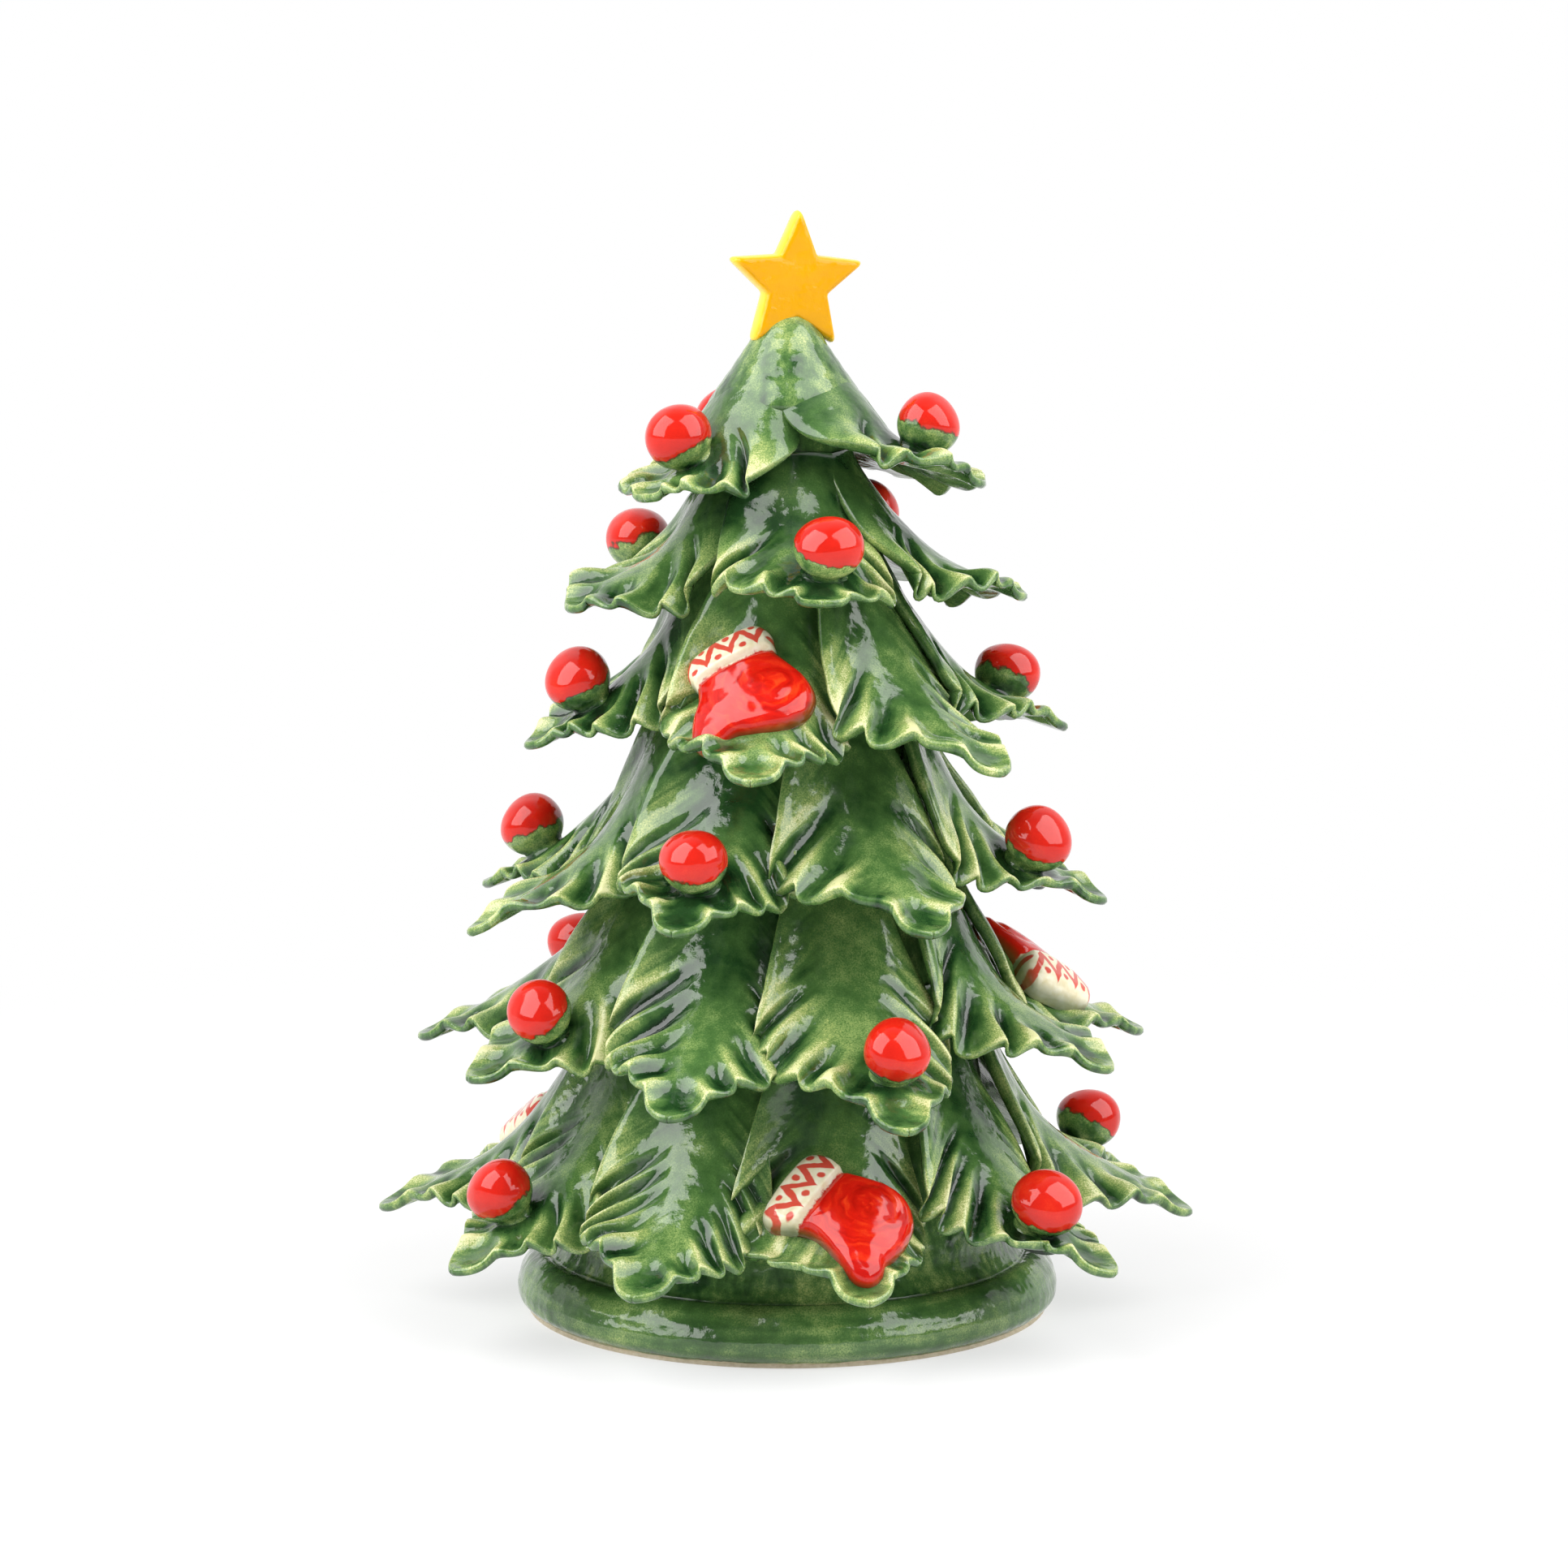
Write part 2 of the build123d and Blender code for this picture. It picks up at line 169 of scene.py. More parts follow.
# Azimuth from the front, further reach, lift of the tip, roll about the midrib, and the load
Leaf = namedtuple("Leaf", "azimuth reach lift roll load", defaults=(0.0, 0.0, 0.0, None))

# Height of the leaves' roots over the foot, how far out and down their tips lie, their half width, the radius
# of their arch, the slope at the tip, the fewest fingers on a side and where these begin, and the root's
# share of the width
Tier = namedtuple("Tier", "root_height reach drop half_width arch_radius tip_slope "
                          "fingers fingers_from root_share leaves")

TIERS = [
    Tier(73.0, 58.3, 65.5, 25.0, 22.0, 20.0, 4, 0.36, 0.42, [
        Leaf(-128, load=Stocking(0.63, 2.5, 250.0)),
        Leaf(-92, 2.0),
        Leaf(-55, -2.0, -1.0, load=Bauble(0.75, -2.5)),
        Leaf(-22, -4.0),
        Leaf(12, -8.0, load=Stocking(0.67, -2.0, 47.0, 3.6)),
        Leaf(50, 1.0, 0.0, -6.0, Bauble(0.76, -5.0)),
        Leaf(88, 1.0, 1.0),
        Leaf(122, 2.0, load=Bauble(0.87, 2.5)),
        Leaf(158),
        Leaf(195, load=Bauble()),
    ]),
    Tier(114.0, 56.9, 62.5, 25.0, 22.0, 20.0, 3, 0.36, 0.42, [
        Leaf(-138, load=Bauble(0.70, 6.0)),
        Leaf(-97, 3.0),
        Leaf(-60, -2.0, load=Bauble(0.74, 4.5)),
        Leaf(-18),
        Leaf(17, 6.0, -2.0, load=Bauble(0.77, 1.8)),
        Leaf(62, -2.0, 2.0, -4.0),
        Leaf(99, load=Stocking(0.60, 0.0, 120.0)),
        Leaf(140),
        Leaf(181, load=Bauble()),
    ]),
    Tier(153.0, 56.1, 62.5, 24.0, 21.0, 20.0, 3, 0.36, 0.42, [
        Leaf(-150),
        Leaf(-106, -2.0, -1.0, load=Bauble(0.78)),
        Leaf(-67, 2.0, -4.0, 12.0),
        Leaf(-20, -3.0, 3.0, load=Bauble(0.76)),
        Leaf(25, -1.0, 3.0),
        Leaf(78, -2.0, 1.0, -4.0, Bauble(0.74, -6.0)),
        Leaf(122),
        Leaf(166, load=Bauble()),
    ]),
    Tier(188.0, 50.5, 56.5, 23.0, 21.0, 20.0, 3, 0.36, 0.42, [
        Leaf(-170, load=Bauble()),
        Leaf(-123),
        Leaf(-75, -3.0, 0.0, 4.0, Bauble(0.74, 0.8)),
        Leaf(-7, 2.0, -2.0, load=Stocking(0.56, -4.5, 25.0)),
        Leaf(43, 6.0, -2.0),
        Leaf(92, 0.0, 1.0, -8.0, Bauble(0.76, 6.5)),
        Leaf(141),
    ]),
    Tier(205.5, 42.1, 39.5, 22.0, 22.0, 20.0, 3, 0.28, 0.60, [
        Leaf(-140, load=Bauble(0.82, 5.4)),
        Leaf(-68),
        Leaf(9, -4.0, 5.0, load=Bauble(0.76, 2.0)),
        Leaf(78, 2.0, 1.5, -6.0),
        Leaf(148, load=Bauble(0.54, 0.0)),
    ]),
    Tier(228.5, 36.0, 34.5, 19.0, 26.0, 16.0, 3, 0.28, 0.90, [
        Leaf(-148, load=Bauble(0.55, -1.5)),
        Leaf(-50, -2.0, 0.0, 6.0, Bauble(0.63, -0.8)),
        Leaf(66, 5.0, 3.0, -10.0, Bauble(0.65)),
        Leaf(138),
    ]),
]


def smooth_step(value, start, end):
    """Rise from 0 at start to 1 at end, level at both."""
    share = np.clip((value - start) / (end - start), 0.0, 1.0)
    return share * share * (3.0 - 2.0 * share)


def blend(first, second, share):
    return first + (second - first) * share


def running_total(steps):
    """The sum of the steps before each one, and then of all of them."""
    return np.concatenate([[0.0], np.cumsum(steps)])


def cone_radius(height):
    """The body cone's outer radius at a height."""
    return CONE_RADIUS - CONE_SLOPE * (height - CONE_FOOT)


def linear(red, green, blue):
    """Linear colour from the 0 to 255 values that a picture holds."""
    shares = [channel / 255.0 for channel in (red, green, blue)]
    return tuple(s / 12.92 if s <= 0.04045 else ((s + 0.055) / 1.055) ** 2.4 for s in shares) + (1.0,)


def add_mesh(name, points, faces, values):
    """A smooth-shaded mesh from points in millimetres, with a value for each point under each name."""
    mesh = bpy.data.meshes.new(name)
    mesh.from_pydata((np.asarray(points) * MM).tolist(), [], faces)
    mesh.polygons.foreach_set("use_smooth", [True] * len(mesh.polygons))
    for key, numbers in values.items():
        layer = mesh.attributes.new(key, "FLOAT", "POINT")
        layer.data.foreach_set("value", np.asarray(numbers, dtype=np.float32).ravel())
    mesh.validate()
    piece = bpy.data.objects.new(name, mesh)
    bpy.context.scene.collection.objects.link(piece)
    return piece


def finish_piece(piece, material, slot, *nodes):
    piece.data.materials.append(material)
    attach(piece, "root")
    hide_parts(*nodes)


def ring_faces(rows, columns, closed_rows=False):
    """Quads of a sheet of rows whose columns close into a ring."""
    faces = []
    last = rows if closed_rows else rows - 1
    for row in range(last):
        here = row * columns
        after = (row + 1) % rows * columns
        for column in range(columns):
            beside = (column + 1) % columns
            faces.append((here + column, here + beside, after + beside, after + column))
    return faces


def capped_faces(rows, columns, start=0, flip=False):
    """Quads of a ring's sheet with a lid on its first row and on its last, all turned over if flip is set."""
    last = (rows - 1) * columns
    faces = ring_faces(rows, columns)
    faces.append(tuple(reversed(range(columns))))
    faces.append(tuple(last + k for k in range(columns)))
    return [tuple(start + corner for corner in (face[::-1] if flip else face)) for face in faces]


class LeafForm:
    """A leaf's bent sheet: its spine along the underside, its arch and its roll."""

    def __init__(self, tier, leaf, room_left, room_right):
        self.tier = tier
        self.leaf = leaf
        azimuth = radians(leaf.azimuth)
        self.shingle = blend(SIDE_SHINGLE, 1.0, max(0.0, cos(azimuth)))
        self.room = {-1: room_left * (1.0 + LEFT_OVERLAP * self.shingle), 1: room_right * RIGHT_ROOM}
        self.outward = np.array([sin(azimuth), -cos(azimuth), 0.0])
        self.across = np.array([cos(azimuth), sin(azimuth), 0.0])
        root_height = FOOT_HEIGHT + tier.root_height
        root_radius = cone_radius(root_height)
        self.root_arch = (root_radius + SLIP_GAP) * hypot(1.0, CONE_SLOPE)
        root = np.array([root_radius + SLIP_GAP, root_height])
        tip = np.array([root_radius + tier.reach + leaf.reach, root_height - tier.drop + leaf.lift])
        span = hypot(*(tip - root))
        down_cone = np.array([CONE_SLOPE, -1.0]) / hypot(CONE_SLOPE, 1.0)
        slope = radians(tier.tip_slope)
        off_tip = np.array([cos(slope), -sin(slope)])
        handles = root + down_cone * span * ROOT_HANDLE, tip - off_tip * span * TIP_HANDLE
        s = np.linspace(0.0, 1.0, SPINE_POINTS)[:, None]
        spine = ((1 - s) ** 3 * root + 3 * (1 - s) ** 2 * s * handles[0]
                 + 3 * (1 - s) * s ** 2 * handles[1] + s ** 3 * tip)
        steps = np.hypot(*np.diff(spine, axis=0).T)
        walked = running_total(steps)
        self.length = walked[-1]
        self.share = walked / self.length
        self.spine = spine
        heading = np.gradient(spine, axis=0)
        self.heading = heading / np.hypot(*heading.T)[:, None]

    def on_spine(self, table, along):
        return [np.interp(along, self.share, table[:, axis]) for axis in (0, 1)]

    def place(self, along, aside, height):
        """Points in the frame, from the share along the midrib, the distance aside and the height."""
        radius, level = self.on_spine(self.spine, along)
        run, fall = self.on_spine(self.heading, along)
        upward = -fall[..., None] * self.outward + run[..., None] * UP
        roll = (radians(self.leaf.roll) * smooth_step(along, 0.0, 0.6))[..., None]
        across = self.across * np.cos(roll) + upward * np.sin(roll)
        upward = upward * np.cos(roll) - self.across * np.sin(roll)
        bend = blend(1.0 / self.root_arch, 1.0 / self.tier.arch_radius, smooth_step(along, 0.12, 0.72))
        bend = blend(bend, 1.0 / TIP_ARCH_RADIUS, smooth_step(along, 0.66, 1.0))
        angle = aside * bend
        out = ((1.0 / bend + height) * np.sin(angle))[..., None]
        rise = ((1.0 / bend + height) * np.cos(angle) - 1.0 / bend)[..., None]
        start = radius[..., None] * self.outward + level[..., None] * UP
        return start + across * out + upward * rise

    def edge(self, along, wanted, side):
        """The edge's distance aside: what is wanted, or less where it would reach too far."""
        room = radians(self.room[side])
        shortest = np.zeros_like(wanted)
        longest = wanted.copy()
        for _ in range(16):
            middle = (shortest + longest) / 2
            points = self.place(along, middle * side, np.zeros_like(middle))
            swing = np.arctan2(side * (points @ self.across), points @ self.outward)
            inside = swing <= room
            shortest = np.where(inside, middle, shortest)
            longest = np.where(inside, longest, middle)
        return longest

    def seat(self, along, aside):
        """A matrix in millimetres on the upper face, with Z out of it and Y towards the root."""
        def point(along, height):
            return self.place(np.array([along]), np.array([aside]), np.array([height]))[0]

        here = point(along, LEAF_THICKNESS)
        up = Vector(point(along, LEAF_THICKNESS + 1.0) - here).normalized()
        rootward = Vector(point(along - 0.01, LEAF_THICKNESS) - here)
        rootward = (rootward - up * rootward.dot(up)).normalized()
        side = rootward.cross(up)
        seat = Matrix((side, rootward, up)).transposed().to_4x4()
        seat.translation = Vector(here)
        return seat


def leaf_outline(a, root_share):
    """Half width as a share of the widest, by the place where a finger leaves the midrib."""
    rising = blend(root_share, 1.0, smooth_step(a, 0.02, WIDEST_AT))
    narrowing = np.clip((a - WIDEST_AT) / (TIP_LOBE_FROM - WIDEST_AT), 0.0, 1.0)
    tip = np.clip((a - TIP_LOBE_FROM) / (1.0 - TIP_LOBE_FROM), 0.0, 1.0)
    return rising * blend(1.0, TIP_LOBE_SHARE, narrowing ** 1.1) * (1.0 - tip ** 1.7) ** 0.65


def lobe_steps(count):
    """The grid's rows in lobes: 0 to 1 is the shoulder, then the fingers, and the last is the tip."""
    shoulder = np.linspace(0.0, 1.0, SHOULDER_ROWS, endpoint=False)
    fingers = np.linspace(1.0, count + 1.0, count * FINGER_ROWS, endpoint=False)
    tip = count + 2.0 - (1.0 - np.linspace(0.0, 0.9995, TIP_ROWS)) ** 1.5
    return np.concatenate([shoulder, fingers, tip])


class LobeRow:
    """The lobes along one side of a leaf: where the ridges between them start, and how each is pressed."""

    def __init__(self, tier, count, rng):
        pitch = rng.uniform(0.75, 1.25, count) * np.linspace(0.75, 1.5, count)
        walked = running_total(pitch)
        first = tier.fingers_from + rng.uniform(-0.03, 0.03)
        ridges = first + (TIP_LOBE_FROM - first) * walked / walked[-1]
        self.knots = np.concatenate([[0.0], ridges, [1.0]])
        self.depths = rng.uniform(0.7, 1.2, count + 2)
        self.depths[0] = 0.4
        self.starts = rng.uniform(0.06, 0.34, count + 2)
        self.ridge_starts = rng.uniform(0.12, 0.45, count + 3)
        self.notches = rng.uniform(0.6, 1.25, count + 3)
        self.notches[-2] = 0.5

    def between(self, values, step):
        return np.interp(step, np.arange(len(self.knots)), values)


class LeafSheet:
    """The grid of one leaf: where each grid point lies and how the glaze lies there.

    v runs across from the left edge at -1 to the right one at 1. a is the share of the midrib at which a
    point's finger leaves it, and along the share at which the point itself lies.
    """

    def __init__(self, form, rng):
        self.form = form
        count = form.tier.fingers + rng.integers(0, 2)
        left, right = LobeRow(form.tier, count, rng), LobeRow(form.tier, count, rng)
        columns = np.sin(pi / 2 * np.linspace(-1.0, 1.0, LEAF_COLUMNS))
        step, self.v = np.meshgrid(lobe_steps(count), columns, indexing="ij")
        self.off_midrib = np.abs(self.v)
        self.press_fingers(left, right, count, step)
        self.spread(rng)
        self.raise_edges(rng)
        self.smooth_down()
        self.brushed = smooth_step(self.off_midrib, 0.15, 0.55) * smooth_step(self.a, 0.08, 0.30)
        self.shift = rng.uniform(-0.08, 0.08)

    def press_fingers(self, left, right, count, step):
        """Hollows in the fingers, ridges between them, the edge's waves and notches, and its pale rim."""
        off_midrib = self.off_midrib
        lobe = np.floor(step).astype(int)
        part = step - lobe
        is_tip = lobe > count

        def of_side(pick):
            return np.where(self.v < 0.0, pick(left), pick(right))

        self.a = blend(left.between(left.knots, step), right.between(right.knots, step),
                       smooth_step(self.v, -0.2, 0.2))
        from_middle = np.where(lobe == 0, part, np.where(is_tip, 1.0 - part, 2.0 * part - 1.0))
        hollow = 0.5 + 0.5 * np.cos(pi * from_middle)
        pressed = hollow * of_side(lambda row: row.depths[lobe])
        pressed = pressed * np.where(lobe == 0, smooth_step(part, 0.35, 0.9), 1.0)
        start = of_side(lambda row: row.starts[lobe])
        reach = smooth_step(off_midrib, start, start + 0.45)
        reach = reach * (1.0 - 0.45 * smooth_step(off_midrib, 0.80, 1.0))
        spoon = (1.0 - self.v ** 2) * smooth_step(part, 0.0, 0.35) * (1.0 - smooth_step(part, 0.6, 1.0))
        self.trough = np.where(is_tip, 0.8 * spoon, pressed * reach)
        ridge_start = of_side(lambda row: row.between(row.ridge_starts, step))
        self.ridge = (1.0 - hollow) ** 3 * smooth_step(off_midrib, ridge_start, ridge_start + 0.5)
        self.ridge = self.ridge * (0.45 + 0.55 * off_midrib)
        to_edge = smooth_step(off_midrib, 0.25, 1.0) * smooth_step(self.a, 0.08, 0.25)
        to_edge = to_edge * (1.0 - 0.4 * smooth_step(self.a, 0.55, 0.80))
        self.wave = (pressed - 0.45) * to_edge * np.where(is_tip, 1.0 - smooth_step(part, 0.0, 0.5), 1.0)
        self.notch = (1.0 - hollow) ** 1.6 * of_side(lambda row: row.between(row.notches, step))
        self.notch = self.notch * smooth_step(self.a, 0.05, 0.2)
        rim = smooth_step(off_midrib, 0.955, 0.99) + is_tip * smooth_step(part, 0.95, 0.985)
        self.rim = np.clip(rim, 0.0, 1.0) * smooth_step(self.a, 0.12, 0.40)

    def spread(self, rng):
        """Each point's share along the midrib and distance aside, and how far the neighbours crowd it."""
        slant = FINGER_SLANT / self.form.length
        slant = slant * np.clip((1.0 - self.a) / 0.45, 0.0, 1.0) * np.clip(self.a / 0.25, 0.0, 1.0)
        self.along = np.clip(self.a + slant * self.off_midrib ** 1.3, 0.0, 1.0)
        tier = self.form.tier
        edges, crowding = {}, {}
        for side, column in ((-1, 0), (1, -1)):
            half = tier.half_width * rng.uniform(0.95, 1.05)
            half = half * leaf_outline(self.a[:, column], tier.root_share)
            edges[side] = self.form.edge(self.along[:, column], half, side)[:, None]
            crowding[side] = smooth_step(1.0 - edges[side] / half[:, None], 0.02, 0.20)
        width = np.where(self.v < 0.0, edges[-1], edges[1])
        self.crowded = np.where(self.v < 0.0, crowding[-1], crowding[1])
        notch = NOTCH_SHARE * self.notch * (1.0 - self.crowded)
        self.aside = self.v * width * (1.0 - notch * smooth_step(self.off_midrib, 0.3, 1.0))

    def raise_edges(self, rng):
        """The left edge lies over the next leaf and the right one under, and both flare and sway."""
        shingle = SHINGLE_LIFT * self.form.shingle * smooth_step(-self.v, 0.25, 1.0)
        shingle = shingle - SHINGLE_SINK * smooth_step(self.v, 0.4, 1.0)
        self.lift = shingle * smooth_step(self.along, 0.03, 0.25)
        self.lift = self.lift * (1.0 - smooth_step(self.along, 0.72, 0.98))
        before_tip = 1.0 - smooth_step(self.a, 0.72, 0.97)
        flare = EDGE_FLARE * smooth_step(self.off_midrib, 0.5, 1.0)
        self.lift += flare * smooth_step(self.along, 0.2, 0.5) * before_tip
        phases = rng.uniform(0.0, 2.0 * pi, 2)
        sway = 0.7 * self.v * before_tip * np.sin(7.5 * self.along + phases[0])
        sway += 0.5 * np.sin(10.5 * self.along + phases[1])
        self.lift += sway * smooth_step(self.along, 0.12, 0.4)

    def smooth_down(self):
        """Press less where the neighbours crowd the leaf and where an ornament sits."""
        self.wave *= 1.0 - self.crowded
        self.trough *= 1.0 - 0.7 * self.crowded
        self.ridge *= 1.0 - 0.8 * self.crowded
        calm = self.near_load()
        left_edge = smooth_step(-self.v, 0.6, 0.95) * (1.0 - smooth_step(self.along, 0.58, 0.76))
        self.lift *= 1.0 - calm * (1.0 - left_edge)
        self.wave *= 1.0 - calm
        self.trough *= 1.0 - 0.8 * calm

    def thickness(self):
        rising = LEAF_THICKNESS * (0.1 + 0.9 * smooth_step(self.along, 0.0, 0.25))
        if self.form.tier is TIERS[-1]:
            swell = smooth_step(self.along, 0.0, 0.2) * (1.0 - smooth_step(self.along, 0.35, 0.7))
            rising = rising + CAP_SWELL * swell
        return blend(rising, LEAF_TIP_THICKNESS, smooth_step(self.along, 0.82, 1.0))

    def upper(self):
        height = self.thickness() - RUFFLE * self.wave + self.lift - FINGER_DEPTH * self.trough
        height = np.maximum(height, self.under_height() + THINNEST * smooth_step(self.along, 0.0, 0.2))
        return self.form.place(self.along, self.aside, height)

    def under_height(self):
        sunk = 0.6 * (1.0 - smooth_step(self.along, 0.0, 0.1))
        return self.lift * 0.9 - UNDER_RUFFLE * self.wave - sunk

    def under(self):
        return self.form.place(self.along, self.aside * 0.985, self.under_height())

    def from_load(self):
        """Distance from the middle of the ornament's seat."""
        load = self.form.leaf.load
        return np.hypot((self.along - load.along) * self.form.length, self.aside - load.aside)

    def near_load(self):
        """1 where the leaf was smoothed to seat an ornament."""
        load = self.form.leaf.load
        if load is None:
            return np.zeros_like(self.a)
        clear = BAUBLE_CALM if isinstance(load, Bauble) else STOCKING_CALM
        return 1.0 - smooth_step(self.from_load(), clear, clear + CALM_FADE)

    def pool(self):
        """Where glaze has run together round the foot of a bauble."""
        if not isinstance(self.form.leaf.load, Bauble):
            return np.zeros_like(self.a)
        return 1.0 - smooth_step(self.from_load(), BAUBLE_RADIUS * 0.8, BAUBLE_RADIUS * 1.35)

    def tone(self):
        """From dark pooled glaze (0) to glaze broken thin and pale (1)."""
        tone = 0.44 + self.shift - 0.30 * self.trough + 0.40 * self.ridge + 0.14 * self.rim
        tone += 0.14 * smooth_step(self.along, 0.35, 0.75) - 0.07
        return np.clip(tone - 0.30 * self.pool(), 0.0, 1.0)


def make_leaf(form, rng, name, material):
    sheet = LeafSheet(form, rng)
    upper, under = sheet.upper(), sheet.under()[:, ::-1]
    rows = len(upper)

    def rounded_edge(column, beside, other):
        outward = np.cross(np.gradient(upper[:, column], axis=0), upper[:, column] - other)
        outward *= np.sign(np.sum(outward * (upper[:, column] - upper[:, beside])))
        outward /= np.linalg.norm(outward, axis=1)[:, None] + 1e-9
        return [(blend(upper[:, column], other, share) + outward * swell)[:, None]
                for share, swell in EDGE_ROUND]

    right = rounded_edge(-1, -2, under[:, 0])
    left = rounded_edge(0, 1, under[:, -1])[::-1]
    points = np.concatenate([upper] + right + [under] + left, axis=1)
    ring = points.shape[1]
    around = len(EDGE_ROUND)

    def all_round(face, back=None):
        """A value of the upper face carried round the edges and over the lower face."""
        back = face[:, ::-1] if back is None else back
        return np.concatenate([face] + [face[:, -1:]] * around + [back] + [face[:, :1]] * around, axis=1)

    tone = sheet.tone()
    tones = all_round(tone, np.full_like(tone, UNDERSIDE_TONE))
    tones[:, LEAF_COLUMNS:LEAF_COLUMNS + around] = EDGE_TONES
    tones[:, -around:] = EDGE_TONES[::-1]
    faces = [face[::-1] for face in ring_faces(rows, ring)]
    # The ends at the root and the tip: a strip between the two faces, and a lid on each rounded edge
    last = (rows - 1) * ring
    low = 2 * LEAF_COLUMNS + around - 1
    for k in range(LEAF_COLUMNS - 1):
        faces.append((k, low - k, low - k - 1, k + 1))
        faces.append((last + k + 1, last + low - k - 1, last + low - k, last + k))
    for end, flip in ((0, 1), (last, -1)):
        faces.append(tuple([end + k for k in range(LEAF_COLUMNS - 1, LEAF_COLUMNS + around + 1)][::flip]))
        faces.append(tuple([end + k % ring for k in range(low, ring + 1)][::flip]))
    piece = add_mesh(name + "_pressed", points.reshape(-1, 3), faces, {
        "tone": tones,
        "run": all_round(sheet.a * form.length),
        "side": all_round(sheet.aside),
        "brushed": all_round(sheet.brushed),
        "leaf": np.full(tones.size, rng.uniform(0.0, 900.0)),
    })
    finish_piece(piece, material, "green_glaze_leaf", name)


def in_frame(matrix, points):
    turn = np.array(matrix.to_3x3())
    return points @ turn.T + np.array(matrix.translation)


def bauble_profile():
    """Radius and height in bauble radii, from the top down to the glaze that has run round its foot."""
    angles = np.linspace(0.02, 2.43, 30)
    ball = np.stack([np.sin(angles), np.cos(angles) * 0.96], axis=1)
    foot = np.array([[0.625, -0.80], [0.64, -0.87], [0.69, -0.95], [0.78, -1.05], [0.9, -1.2]])
    return np.concatenate([ball, foot])


def make_baubles(seats, rng, name, material):
    profile = bauble_profile()
    turns = np.linspace(0.0, 2.0 * pi, BAUBLE_TURNS, endpoint=False)
    all_points, all_faces, heights = [], [], []
    for seat in seats:
        radius = BAUBLE_RADIUS * rng.uniform(0.97, 1.04)
        lean, swing, slump = rng.uniform(0.0, 2.0 * pi, 3)
        lumps = 1.0 + 0.035 * np.cos(2.0 * turns + lean) + 0.020 * np.cos(3.0 * turns + swing)
        across = radius * profile[:, :1] * lumps[None, :]
        crown = np.clip(profile[:, 1:], 0.0, 1.0)
        tilt = 1.0 + 0.16 * np.cos(turns + slump)[None, :] * profile[:, :1] - rng.uniform(0.02, 0.14)
        levels = radius * (profile[:, 1:] - crown + crown * tilt)
        levels = levels + BAUBLE_RADIUS * BAUBLE_SEAT_SHARE
        local = np.stack([across * np.cos(turns), across * np.sin(turns), levels], axis=-1)
        start = sum(len(block) for block in all_points)
        all_faces += capped_faces(len(profile), len(turns), start, flip=True)
        all_points.append(in_frame(seat, local.reshape(-1, 3)))
        share = np.repeat(profile[:, 1:], len(turns), axis=1) + 0.14 * np.cos(turns + swing)[None, :]
        share = share + rng.uniform(-0.30, 0.10)
        heights.append(share.ravel())
    piece = add_mesh(name + "_rolled", np.concatenate(all_points), all_faces, {
        "cap": np.concatenate(heights),
    })
    finish_piece(piece, material, "red_glaze", name)


def rounded_outline(corners, radii, count):
    """A closed outline through corners that are rounded off, evenly spaced."""
    points = []
    corners = [np.array(corner, dtype=float) for corner in corners]
    for place, corner in enumerate(corners):
        before = corners[place - 1] - corner
        after = corners[(place + 1) % len(corners)] - corner
        before /= np.linalg.norm(before)
        after /= np.linalg.norm(after)
        half = np.arccos(np.clip(before @ after, -1.0, 1.0)) / 2
        start = corner + before * radii[place] / np.tan(half)
        end = corner + after * radii[place] / np.tan(half)
        for s in np.linspace(0.0, 1.0, 9):
            points.append((1 - s) ** 2 * start + 2 * s * (1 - s) * corner + s ** 2 * end)
    points = np.array(points + points[:1])
    walked = running_total(np.hypot(*np.diff(points, axis=0).T))
    even = np.linspace(0.0, walked[-1], count, endpoint=False)
    return np.stack([np.interp(even, walked, points[:, axis]) for axis in (0, 1)], axis=1)


def hermite(share, start, end, start_slope, end_slope):
    """The point at a share of the way between two points, on the curve that has the slopes at them."""
    return ((2 * share ** 3 - 3 * share ** 2 + 1) * start
            + (share ** 3 - 2 * share ** 2 + share) * start_slope
            + (3 * share ** 2 - 2 * share ** 3) * end
            + (share ** 3 - share ** 2) * end_slope)


def smooth_outline(corners, count):
    """A smooth closed curve through points."""
    total = len(corners)
    s = np.linspace(0.0, total, count, endpoint=False)
    k = np.floor(s).astype(int)
    before, start, end, after = (corners[(k + step) % total] for step in (-1, 0, 1, 2))
    return hermite((s - k)[:, None], start, end, (end - before) / 2, (after - start) / 2)


def smooth_line(corners, count):
    """A smooth open curve through points."""
    corners = np.array(corners)
    s = np.linspace(0.0, len(corners) - 1.0, count)
    k = np.minimum(np.floor(s).astype(int), len(corners) - 2)
    slopes = np.gradient(corners, axis=0)
    return hermite((s - k)[:, None], corners[k], corners[k + 1], slopes[k], slopes[k + 1])


def stocking_outline(droop):
    """The stocking's outline with its toe let down, and its instep drawn in with it."""
    corners = np.array(STOCKING_OUTLINE)
    toe = smooth_step(-corners[:, 0], -10.0, 13.0) * smooth_step(-corners[:, 1], 3.0, 12.0)
    instep = np.exp(-((corners[:, 0] + 13.0) ** 2 + (corners[:, 1] + 6.0) ** 2) / 60.0)
    drawn = toe[:, None] * np.array([0.5, -1.0]) + instep[:, None] * np.array([0.9, 0.0])
    return smooth_outline(corners + droop * drawn, STOCKING_POINTS)


